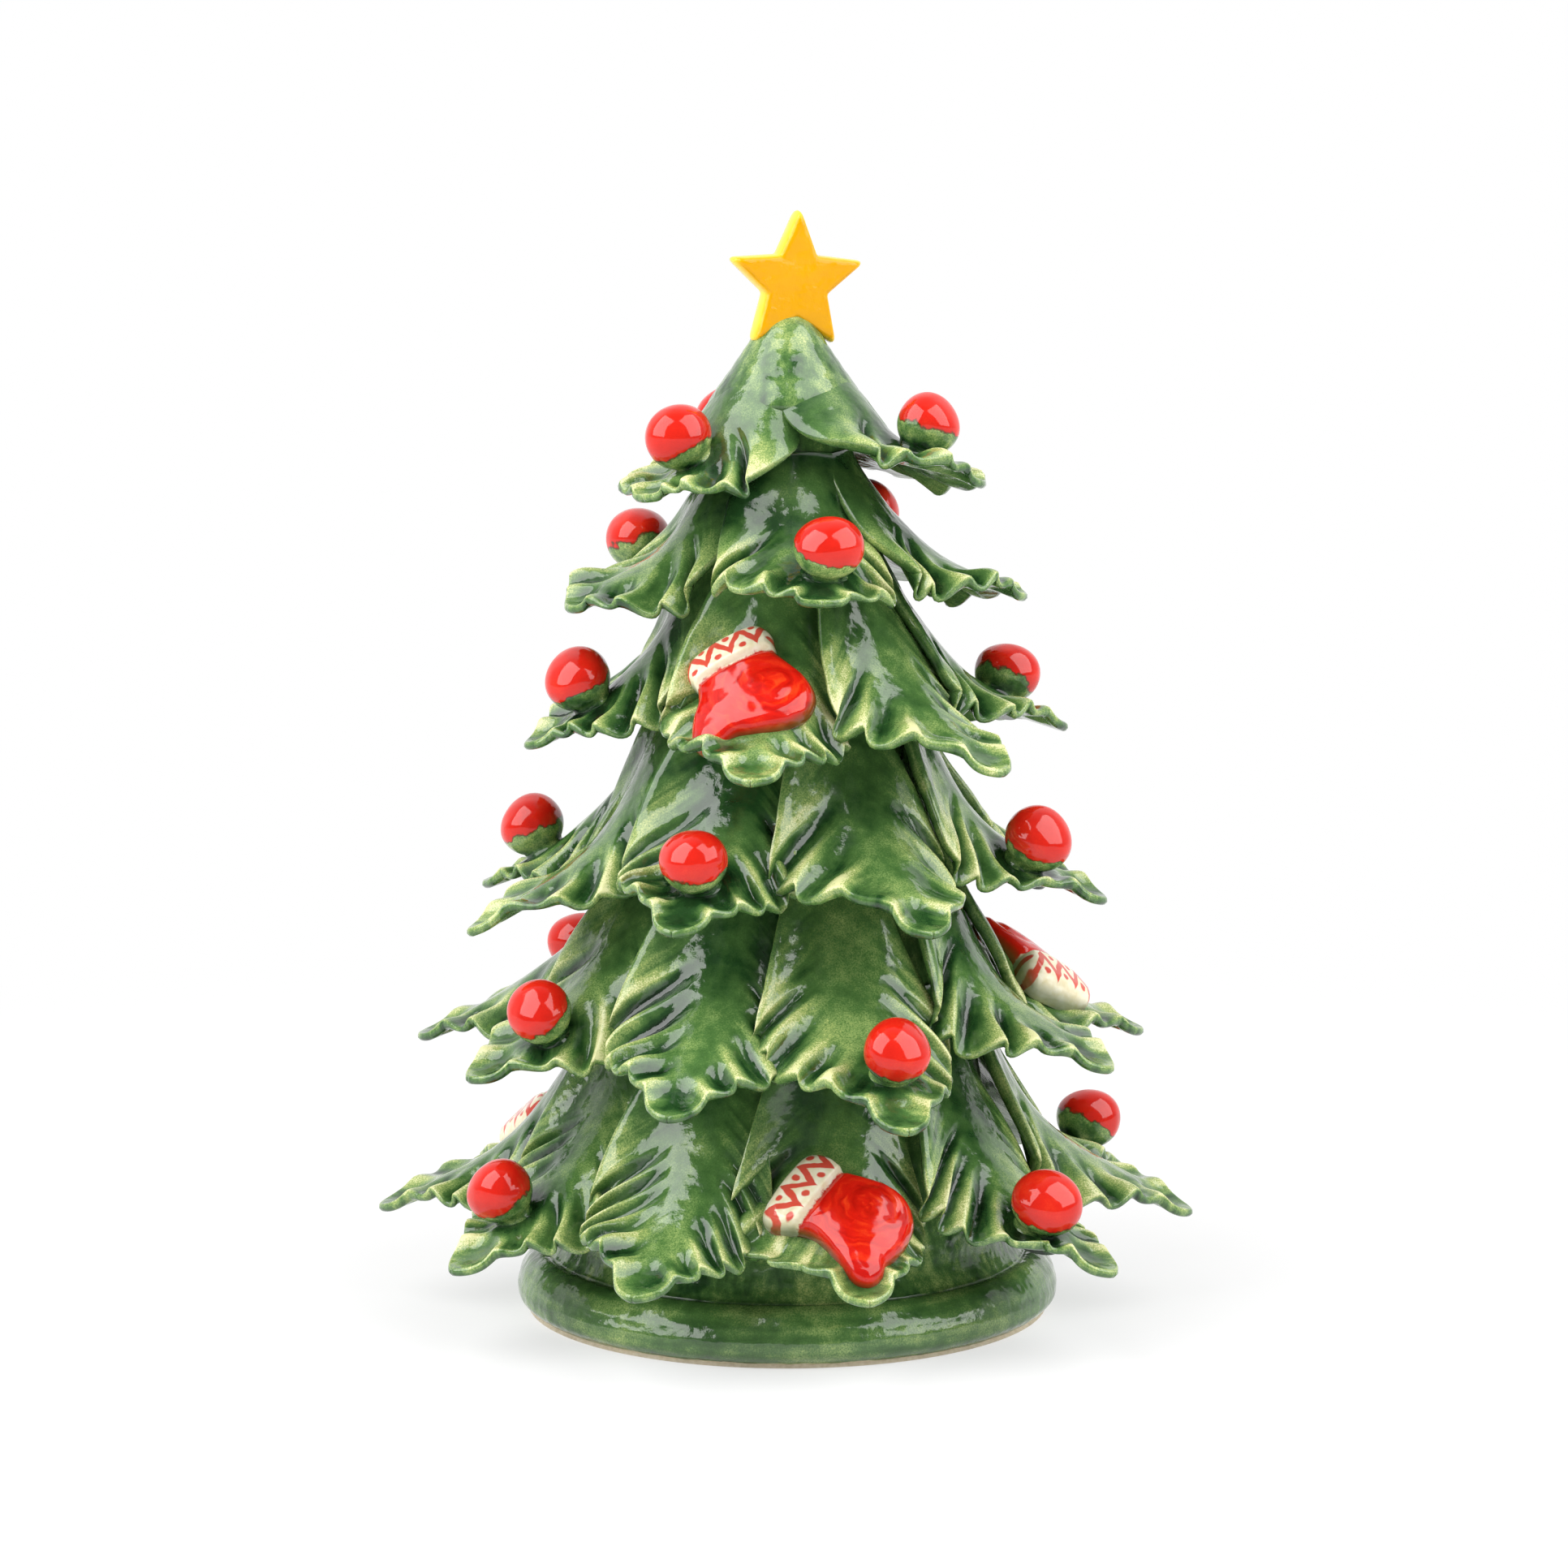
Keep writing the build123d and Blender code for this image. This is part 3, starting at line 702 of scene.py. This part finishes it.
def make_stocking(form, load, name, material):
    """A fat cut-out stocking, pressed onto the arch of its leaf."""
    outline = stocking_outline(load.droop)
    edge_shares, edge_rises = zip(*STOCKING_EDGE)
    shares = np.concatenate([edge_shares, np.linspace(0.86, 0.0, STOCKING_RINGS)])
    rises = np.concatenate([edge_rises, np.ones(STOCKING_RINGS)])
    flat = STOCKING_HEART + (outline - STOCKING_HEART)[None] * shares[:, None, None]
    x, y = flat[..., 0], flat[..., 1]
    cuff = smooth_step(y, 0.6, 1.8)
    seam = np.exp(-((y - 0.4) / 0.8) ** 2)
    heel = np.exp(-((np.hypot(x - 6.5, y + 11.0) - 5.5) / 1.3) ** 2) * smooth_step(x, 2.0, 7.0)
    pillow = 1.0 - 0.22 * shares[:, None] ** 3
    height = rises[:, None] * (STOCKING_THICKNESS * pillow + CUFF_PROUD * cuff - 0.9 * seam - 0.5 * heel)
    turn = radians(load.turn)
    level_y = y + STOCKING_MIDDLE
    aside = x * cos(turn) - level_y * sin(turn)
    rootward = x * sin(turn) + level_y * cos(turn)
    seat = form.seat(load.along, load.aside)
    sag = aside ** 2 / (2.0 * STOCKING_BEND_ACROSS)
    sag = sag + np.maximum(rootward, 0.0) ** 2 / (2.0 * STOCKING_BEND_ALONG)
    points = in_frame(seat, np.stack([aside, rootward, height - sag], axis=-1).reshape(-1, 3))
    faces = capped_faces(len(shares), len(outline), flip=True)
    low_edge = smooth_step(shares, 0.93, 1.0)[:, None] * (1.0 - smooth_step(rises, 0.3, 0.8))[:, None]
    edge = np.repeat(low_edge, len(outline), axis=1)
    piece = add_mesh(name + "_cutout", points, faces, {"sock_x": x, "sock_y": y, "edge": edge})
    finish_piece(piece, material, "stocking_glaze", name)


def make_star(material):
    corners = []
    for step in range(10):
        radius = STAR_INNER_RADIUS if step % 2 else STAR_RADIUS
        angle = pi / 2 + pi / 5 * step
        corners.append((radius * cos(angle), radius * sin(angle)))
    outline = rounded_outline(corners, STAR_CORNER_RADII * 5, STAR_POINTS)
    inward = np.array([0.0, 0.015, 0.04, 0.075, 0.115, STAR_ROUND])
    shares = 1.0 - np.concatenate([inward, np.linspace(0.25, 0.98, STAR_RINGS)])
    rise = np.sqrt(np.clip(1.0 - (1.0 - inward / STAR_ROUND) ** 2, 0.0, 1.0))
    levels = 0.5 * STAR_THICKNESS * np.concatenate([rise, np.ones(STAR_RINGS)])
    front = np.concatenate([outline[None] * shares[:, None, None],
                            np.broadcast_to(levels[:, None, None], (len(shares), STAR_POINTS, 1))], axis=2)
    back = front[:0:-1] * np.array([1.0, 1.0, -1.0])
    points = np.concatenate([back, front])
    edge = np.repeat(np.concatenate([shares[:0:-1], shares])[:, None], STAR_POINTS, axis=1)
    faces = capped_faces(len(points), STAR_POINTS)
    height = TIP_TOP - STAR_SETTING_DEPTH + STAR_RADIUS * cos(pi / 5)
    place = Matrix.Translation((STAR_OFFSET, 0.0, height)) @ Matrix.Rotation(radians(STAR_YAW), 4, "Z")
    place = place @ Matrix.Rotation(pi / 2, 4, "X") @ Matrix.Rotation(radians(STAR_LEAN), 4, "Z")
    piece = add_mesh("star_cutout", in_frame(place, points.reshape(-1, 3)), faces, {"edge": edge})
    finish_piece(piece, material, "yellow_glaze", "star")


def turned(name, profile, ripple, rng):
    """A wheel-thrown piece from a closed profile, with faint rings and a slight wobble."""
    turns = np.linspace(0.0, 2.0 * pi, THROWN_TURNS, endpoint=False)
    profile = np.asarray(profile)
    phases = rng.uniform(0.0, 2.0 * pi, 5)
    radii = profile[:, :1] + ripple * np.sin(profile[:, 1:] * 1.9 + phases[0] + np.sin(turns + phases[1]))
    radii = radii + ripple * 0.8 * np.sin(3.0 * turns + phases[2] + profile[:, 1:] * 0.12)
    levels = np.repeat(profile[:, 1:], len(turns), axis=1)
    points = np.stack([radii * np.cos(turns), radii * np.sin(turns), levels], axis=-1)
    faces = ring_faces(len(profile), len(turns), closed_rows=True)
    tone = 0.44 + 0.16 * smooth_step(levels, CONE_TOP - 8.0, TIP_TOP)
    return add_mesh(name, points.reshape(-1, 3), faces, {"tone": tone})


def make_foot(rng, material):
    inner = CONE_RADIUS - BODY_WALL
    fullest = FOOT_RADIUS - FOOT_ROLL
    roll = []
    for angle in np.linspace(-0.95, FOOT_ROLL_END, 40):
        rise = FOOT_FULLEST if angle < 0.0 else FOOT_ROLL_RISE
        roll.append((fullest + FOOT_ROLL * cos(angle), FOOT_FULLEST + rise * sin(angle) / sin(FOOT_ROLL_END)))
    low = [(r, z) for r, z in roll if z > 0.8]
    top = [(FOOT_SHOULDER_RADIUS - 0.3, FOOT_HEIGHT - 0.1), (SKIRT_RADIUS - 0.6, FOOT_HEIGHT - JOINT_LAP)]
    profile = [(inner, 0.0), (FOOT_TREAD_RADIUS - 0.4, 0.0), (FOOT_TREAD_RADIUS + 0.6, 0.25)] + low + top
    profile += [(inner, FOOT_HEIGHT - JOINT_LAP)]
    piece = turned("foot_ring_thrown", profile, 0.07, rng)
    finish_piece(piece, material, "green_glaze_foot", "foot_ring")


def make_body(rng, material):
    lap = FOOT_HEIGHT - JOINT_LAP
    waist = [(blend(SKIRT_RADIUS + 0.4, CONE_RADIUS, s ** 0.6), lap + (SKIRT_HEIGHT + JOINT_LAP) * s)
             for s in np.linspace(0.0, 0.98, 10)]
    side = [(cone_radius(z), z) for z in np.linspace(CONE_FOOT, CAP_PROFILE[0][1] - 1.0, 150)]
    dome = smooth_line(CAP_PROFILE, 60)
    ceiling = CONE_TOP - CEILING_DEPTH
    inside = [(0.5, ceiling), (cone_radius(ceiling) - BODY_WALL, ceiling), (CONE_RADIUS - BODY_WALL, lap)]
    piece = turned("body_cone_thrown", np.concatenate([waist, side, dome, inside]), 0.06, rng)
    finish_piece(piece, material, "green_glaze_body", "body_cone")


class Nodes:
    """The node tree of a new material or world, with short calls for its parts."""

    def __init__(self, name, kind="materials"):
        self.owner = getattr(bpy.data, kind).new(name)
        self.owner.use_nodes = True
        self.tree = self.owner.node_tree
        self.tree.nodes.clear()
        self.coordinates = self.add("ShaderNodeTexCoord").outputs
        self.place = self.coordinates["Object"]

    def add(self, kind, settings=None, **inputs):
        node = self.tree.nodes.new(kind)
        for key, value in (settings or {}).items():
            setattr(node, key, value)
        for key, value in inputs.items():
            self.put(node.inputs[key.replace("_", " ")], value)
        return node

    def put(self, socket, value):
        if isinstance(value, bpy.types.NodeSocket):
            self.tree.links.new(value, socket)
        else:
            socket.default_value = value

    def math(self, operation, first, second=0.0):
        node = self.add("ShaderNodeMath", {"operation": operation})
        self.put(node.inputs[0], first)
        self.put(node.inputs[1], second)
        return node.outputs[0]

    def squares(self, first, second):
        """The sum of two squares."""
        return self.math("ADD", self.math("POWER", first, 2.0), self.math("POWER", second, 2.0))

    def noise(self, scale, detail=2.0, where=None):
        return self.add("ShaderNodeTexNoise", Vector=where or self.place, Scale=scale, Detail=detail,
                        Roughness=0.5).outputs[0]

    def stretched(self, x, y, z):
        return self.add("ShaderNodeMapping", Vector=self.place, Scale=(x, y, z)).outputs[0]

    def value(self, name):
        return self.add("ShaderNodeAttribute", {"attribute_name": name}).outputs["Fac"]

    def step(self, value, start, end):
        return self.add("ShaderNodeMapRange", {"interpolation_type": "SMOOTHSTEP"}, Value=value,
                        From_Min=start, From_Max=end).outputs["Result"]

    def sway(self, value, texture, amount):
        """The value moved up and down by a texture around its middle."""
        return self.math("ADD", value, self.math("MULTIPLY", self.math("SUBTRACT", texture, 0.5), amount))

    def ramp(self, value, stops):
        node = self.add("ShaderNodeValToRGB", Fac=value)
        points = node.color_ramp.elements
        while len(points) < len(stops):
            points.new(0.5)
        for point, (position, colour) in zip(points, stops):
            point.position = position
            point.color = linear(*colour)
        return node.outputs["Color"]

    def mix(self, share, first, second):
        node = self.add("ShaderNodeMix", {"data_type": "RGBA"})
        self.put(node.inputs[0], share)
        self.put(node.inputs[6], first)
        self.put(node.inputs[7], second)
        return node.outputs[2]

    def bump(self, height, distance):
        return self.add("ShaderNodeBump", Height=height, Distance=distance, Strength=1.0).outputs["Normal"]

    def surface(self, colour, roughness, normal, **more):
        shader = self.add("ShaderNodeBsdfPrincipled", Base_Color=colour, Roughness=roughness, Normal=normal,
                          **more)
        self.finish(shader.outputs[0])
        return self.owner

    def finish(self, shader, kind="ShaderNodeOutputMaterial"):
        self.tree.links.new(shader, self.add(kind).inputs["Surface"])


# From dark pooled glaze to glaze broken thin and pale
GREENS = [
    (0.00, (12, 30, 14)),
    (0.24, (34, 68, 32)),
    (0.44, (76, 112, 57)),
    (0.60, (122, 150, 85)),
    (0.78, (164, 180, 106)),
    (1.00, (218, 218, 160)),
]
GREEN_SPECULAR = 0.7


def green_tone(nodes, tone, strokes, brushing=0.8, mottling=0.70):
    """The glaze's tone with its mottling, brush strokes and fine grain, coarser where the glaze is thin."""
    mottled = nodes.sway(nodes.sway(tone, nodes.noise(60.0, 3.0), mottling), nodes.noise(230.0, 4.0), 0.35)
    brushed = nodes.sway(mottled, strokes, brushing)
    grain = nodes.math("MULTIPLY", nodes.math("SUBTRACT", nodes.noise(2600.0, 2.0), 0.5),
                       nodes.math("ADD", nodes.math("MULTIPLY", nodes.step(brushed, 0.3, 0.75), 0.75), 0.12))
    return nodes.math("ADD", brushed, grain)


def glaze_relief(nodes):
    slow = nodes.noise(160.0, 2.0)
    fine = nodes.noise(1900.0, 2.0)
    return nodes.bump(nodes.math("ADD", slow, nodes.math("MULTIPLY", fine, 0.05)), 0.0006)


def green_surface(nodes, colour, roughness):
    return nodes.surface(colour, roughness, glaze_relief(nodes), Specular_IOR_Level=GREEN_SPECULAR)


def leaf_glaze():
    nodes = Nodes("leaf_green_glaze")
    along_finger = nodes.math("MULTIPLY", nodes.value("side"), 0.22)
    stroke_place = nodes.add("ShaderNodeCombineXYZ", X=along_finger, Y=nodes.value("run"),
                             Z=nodes.value("leaf"))
    strokes = nodes.noise(0.28, 4.0, stroke_place.outputs[0])
    brushing = nodes.math("MULTIPLY", nodes.value("brushed"), 0.85)
    tone = green_tone(nodes, nodes.value("tone"), strokes, brushing)
    roughness = nodes.math("ADD", nodes.math("MULTIPLY", nodes.step(tone, 0.6, 0.95), 0.25), 0.07)
    return green_surface(nodes, nodes.ramp(tone, GREENS), roughness)


def body_glaze():
    nodes = Nodes("body_green_glaze")
    tone = green_tone(nodes, nodes.value("tone"), nodes.noise(300.0, 4.0, nodes.stretched(1.0, 1.0, 0.3)))
    return green_surface(nodes, nodes.ramp(tone, GREENS), 0.08)


def foot_glaze():
    nodes = Nodes("foot_green_glaze")
    strokes = nodes.noise(300.0, 4.0, nodes.stretched(0.12, 0.12, 1.0))
    tone = green_tone(nodes, nodes.value("tone"), strokes, brushing=0.55, mottling=0.30)
    height = nodes.add("ShaderNodeSeparateXYZ", Vector=nodes.place).outputs["Z"]
    wavering = nodes.sway(height, nodes.noise(140.0, 3.0), 0.0016)
    glazed = nodes.step(wavering, 0.0012, 0.0016)
    clay = nodes.ramp(nodes.noise(900.0, 4.0), [(0.3, (212, 196, 166)), (0.7, (232, 220, 196))])
    colour = nodes.mix(glazed, clay, nodes.ramp(tone, GREENS))
    roughness = nodes.math("SUBTRACT", 0.8, nodes.math("MULTIPLY", glazed, 0.72))
    return green_surface(nodes, colour, roughness)


def bauble_glaze():
    nodes = Nodes("bauble_glaze")
    cap = nodes.sway(nodes.value("cap"), nodes.noise(240.0, 3.0), 0.7)
    red_share = nodes.step(cap, -0.33, -0.27)
    red_tone = nodes.sway(nodes.sway(0.45, nodes.noise(130.0, 2.0), 0.5), nodes.noise(2300.0, 2.0), 0.15)
    red = nodes.ramp(red_tone, [(0.2, (182, 22, 14)), (0.5, (210, 34, 20)),
                                (0.85, (236, 74, 34))])
    low_tone = nodes.math("ADD", nodes.math("MULTIPLY", nodes.step(cap, -1.05, -0.75), 0.40), 0.14)
    green = nodes.ramp(green_tone(nodes, low_tone, nodes.noise(300.0, 3.0)), GREENS)
    line = nodes.math("SUBTRACT", nodes.step(cap, -0.36, -0.31), nodes.step(cap, -0.30, -0.25))
    colour = nodes.mix(red_share, green, red)
    colour = nodes.mix(nodes.math("MULTIPLY", line, 0.75), colour, linear(70, 30, 14))
    return nodes.surface(colour, 0.09, nodes.bump(nodes.noise(160.0, 1.0), 0.0005))


def stocking_glaze():
    nodes = Nodes("stocking_glaze_painted")
    x = nodes.sway(nodes.value("sock_x"), nodes.noise(210.0, 2.0), 1.4)
    y = nodes.sway(nodes.value("sock_y"), nodes.noise(230.0, 2.0), 1.8)
    cuff = nodes.step(nodes.sway(y, nodes.noise(1200.0, 2.0), 1.2), 0.3, 0.9)
    cycle = nodes.math("PINGPONG", nodes.math("ADD", x, 33.0), 3.4)
    zigzag = nodes.math("ADD", nodes.math("MULTIPLY", cycle, 1.7), 3.4)
    stroke = nodes.math("ABSOLUTE", nodes.math("SUBTRACT", y, zigzag))
    line = nodes.math("SUBTRACT", 1.0, nodes.step(stroke, 1.3, 1.9))
    high_dot = nodes.squares(cycle, nodes.math("SUBTRACT", y, 8.6))
    low_dot = nodes.squares(nodes.math("SUBTRACT", 3.4, cycle), nodes.math("SUBTRACT", y, 3.4))
    dots = nodes.math("SUBTRACT", 1.0, nodes.step(nodes.math("MINIMUM", high_dot, low_dot), 0.5, 1.3))
    paint = nodes.math("MAXIMUM", line, dots)
    swirl_x = nodes.math("SUBTRACT", nodes.value("sock_x"), 4.5)
    swirl_y = nodes.math("ADD", nodes.value("sock_y"), 10.5)
    away = nodes.math("SQRT", nodes.squares(swirl_x, swirl_y))
    turn = nodes.math("ARCTAN2", swirl_y, swirl_x)
    rings = nodes.add("ShaderNodeCombineXYZ", X=nodes.sway(away, nodes.noise(160.0, 2.0), 7.0),
                      Y=nodes.math("MULTIPLY", turn, 1.6))
    swirl = nodes.noise(0.42, 2.0, rings.outputs[0])
    red_tone = nodes.sway(nodes.sway(0.40, swirl, 1.1), nodes.noise(2300.0, 2.0), 0.15)
    red = nodes.ramp(red_tone, [(0.15, (172, 12, 8)), (0.45, (208, 26, 14)),
                                (0.72, (232, 72, 28)), (0.95, (244, 150, 70))])
    cream = nodes.ramp(nodes.noise(420.0, 3.0), [(0.3, (226, 214, 176)), (0.7, (242, 236, 214))])
    colour = nodes.mix(cuff, red, nodes.mix(nodes.math("MULTIPLY", paint, 0.92), cream, linear(206, 38, 20)))
    colour = nodes.mix(nodes.math("MULTIPLY", nodes.value("edge"), 0.7), colour, linear(46, 78, 34))
    return nodes.surface(colour, 0.10, nodes.bump(nodes.noise(180.0, 1.0), 0.0005))


def star_glaze():
    nodes = Nodes("star_yellow_glaze")
    edge = nodes.sway(nodes.value("edge"), nodes.noise(300.0, 3.0), 0.10)
    tone = nodes.sway(nodes.step(edge, 0.84, 1.02), nodes.noise(90.0, 3.0), 0.5)
    colour = nodes.ramp(tone, [(0.0, (220, 156, 0)), (0.35, (232, 170, 2)),
                               (1.0, (250, 214, 70))])
    return nodes.surface(colour, 0.12, glaze_relief(nodes), Specular_IOR_Level=0.3)


def make_floor():
    bpy.ops.mesh.primitive_plane_add(size=12.0)
    floor = bpy.context.object
    floor.name = "studio_floor"
    nodes = Nodes("studio_floor_paper")
    paper = nodes.add("ShaderNodeBsdfDiffuse", Color=(0.86, 0.86, 0.86, 1.0)).outputs[0]
    white = nodes.add("ShaderNodeEmission", Color=(1.0, 1.0, 1.0, 1.0), Strength=1.0).outputs[0]
    away = nodes.add("ShaderNodeVectorMath", {"operation": "LENGTH"}, Vector=nodes.place).outputs["Value"]
    clear = nodes.math("ADD", 0.60, nodes.math("MULTIPLY", nodes.step(away, 0.08, 0.5), 0.40))
    path = nodes.add("ShaderNodeLightPath").outputs
    mirrored = nodes.math("MAXIMUM", path["Is Glossy Ray"], path["Is Transmission Ray"])
    seen = nodes.math("MULTIPLY", nodes.math("MAXIMUM", path["Is Camera Ray"], mirrored), clear)
    mixed = nodes.add("ShaderNodeMixShader", Fac=seen)
    nodes.put(mixed.inputs[1], paper)
    nodes.put(mixed.inputs[2], white)
    nodes.finish(mixed.outputs[0])
    floor.data.materials.append(nodes.owner)


def add_panel(name, azimuth, power):
    """A large soft panel that faces the tree."""
    light = bpy.data.lights.new(name, "AREA")
    light.shape = "RECTANGLE"
    light.size, light.size_y = PANEL_SIZE
    light.energy = power
    lamp = bpy.data.objects.new(name, light)
    turn = radians(azimuth)
    lamp.location = (sin(turn) * PANEL_DISTANCE, -cos(turn) * PANEL_DISTANCE, PANEL_HEIGHT)
    lamp.rotation_euler = (TREE_MIDDLE - lamp.location).to_track_quat("-Z", "Y").to_euler()
    lamp.visible_camera = False
    bpy.context.scene.collection.objects.link(lamp)


def make_surroundings():
    """White paper behind, a dim room in front."""
    nodes = Nodes("studio", "worlds")
    bpy.context.scene.world = nodes.owner
    depth = nodes.add("ShaderNodeSeparateXYZ", Vector=nodes.coordinates["Generated"]).outputs["Y"]
    behind = nodes.add("ShaderNodeMapRange", Value=depth, From_Min=-0.2, From_Max=0.6).outputs["Result"]
    path = nodes.add("ShaderNodeLightPath").outputs
    mirrored = nodes.math("MAXIMUM", path["Is Glossy Ray"], path["Is Transmission Ray"])
    backdrop = nodes.math("MULTIPLY", mirrored, behind)
    lit = nodes.math("ADD", nodes.math("MULTIPLY", behind, 0.74), 0.16)
    strength = nodes.math("MAXIMUM", nodes.math("MAXIMUM", lit, backdrop), path["Is Camera Ray"])
    background = nodes.add("ShaderNodeBackground", Color=(1.0, 1.0, 1.0, 1.0), Strength=strength)
    nodes.finish(background.outputs[0], "ShaderNodeOutputWorld")


def make_camera():
    camera = bpy.data.cameras.new("camera")
    camera.sensor_width = 36.0
    camera.lens = CAMERA_LENS
    eye = bpy.data.objects.new("camera", camera)
    eye.location = CAMERA_PLACE
    eye.rotation_euler = (radians(90.0 - CAMERA_TILT), 0.0, 0.0)
    bpy.context.scene.collection.objects.link(eye)
    bpy.context.scene.camera = eye


def tier_forms(tier):
    """The tier's leaves in order, each with half the angle to its neighbours as room."""
    count = len(tier.leaves)
    for place, leaf in enumerate(tier.leaves):
        before = tier.leaves[place - 1].azimuth
        after = tier.leaves[(place + 1) % count].azimuth
        yield LeafForm(tier, leaf, (leaf.azimuth - before) % 360 / 2, (after - leaf.azimuth) % 360 / 2)


def make_tiers():
    leaf_green = leaf_glaze()
    red = bauble_glaze()
    painted = stocking_glaze()
    for tier_number, tier in enumerate(TIERS, 1):
        seats = []
        for leaf_number, form in enumerate(tier_forms(tier), 1):
            rng = np.random.default_rng(100 * tier_number + leaf_number)
            make_leaf(form, rng, f"tier_{tier_number}_leaf_{leaf_number:02d}", leaf_green)
            load = form.leaf.load
            if isinstance(load, Bauble):
                seats.append(form.seat(load.along, load.aside))
            elif isinstance(load, Stocking):
                make_stocking(form, load, f"tier_{tier_number}_stocking_{leaf_number:02d}", painted)
        make_baubles(seats, np.random.default_rng(tier_number), f"tier_{tier_number}_baubles", red)


make_tiers()
make_star(star_glaze())
make_body(np.random.default_rng(11), body_glaze())
make_foot(np.random.default_rng(12), foot_glaze())
make_floor()
add_panel("left_panel", -62.0, 20.0)
add_panel("right_panel", 64.0, 17.2)
make_surroundings()
make_camera()
bpy.context.scene.view_settings.view_transform = "Standard"
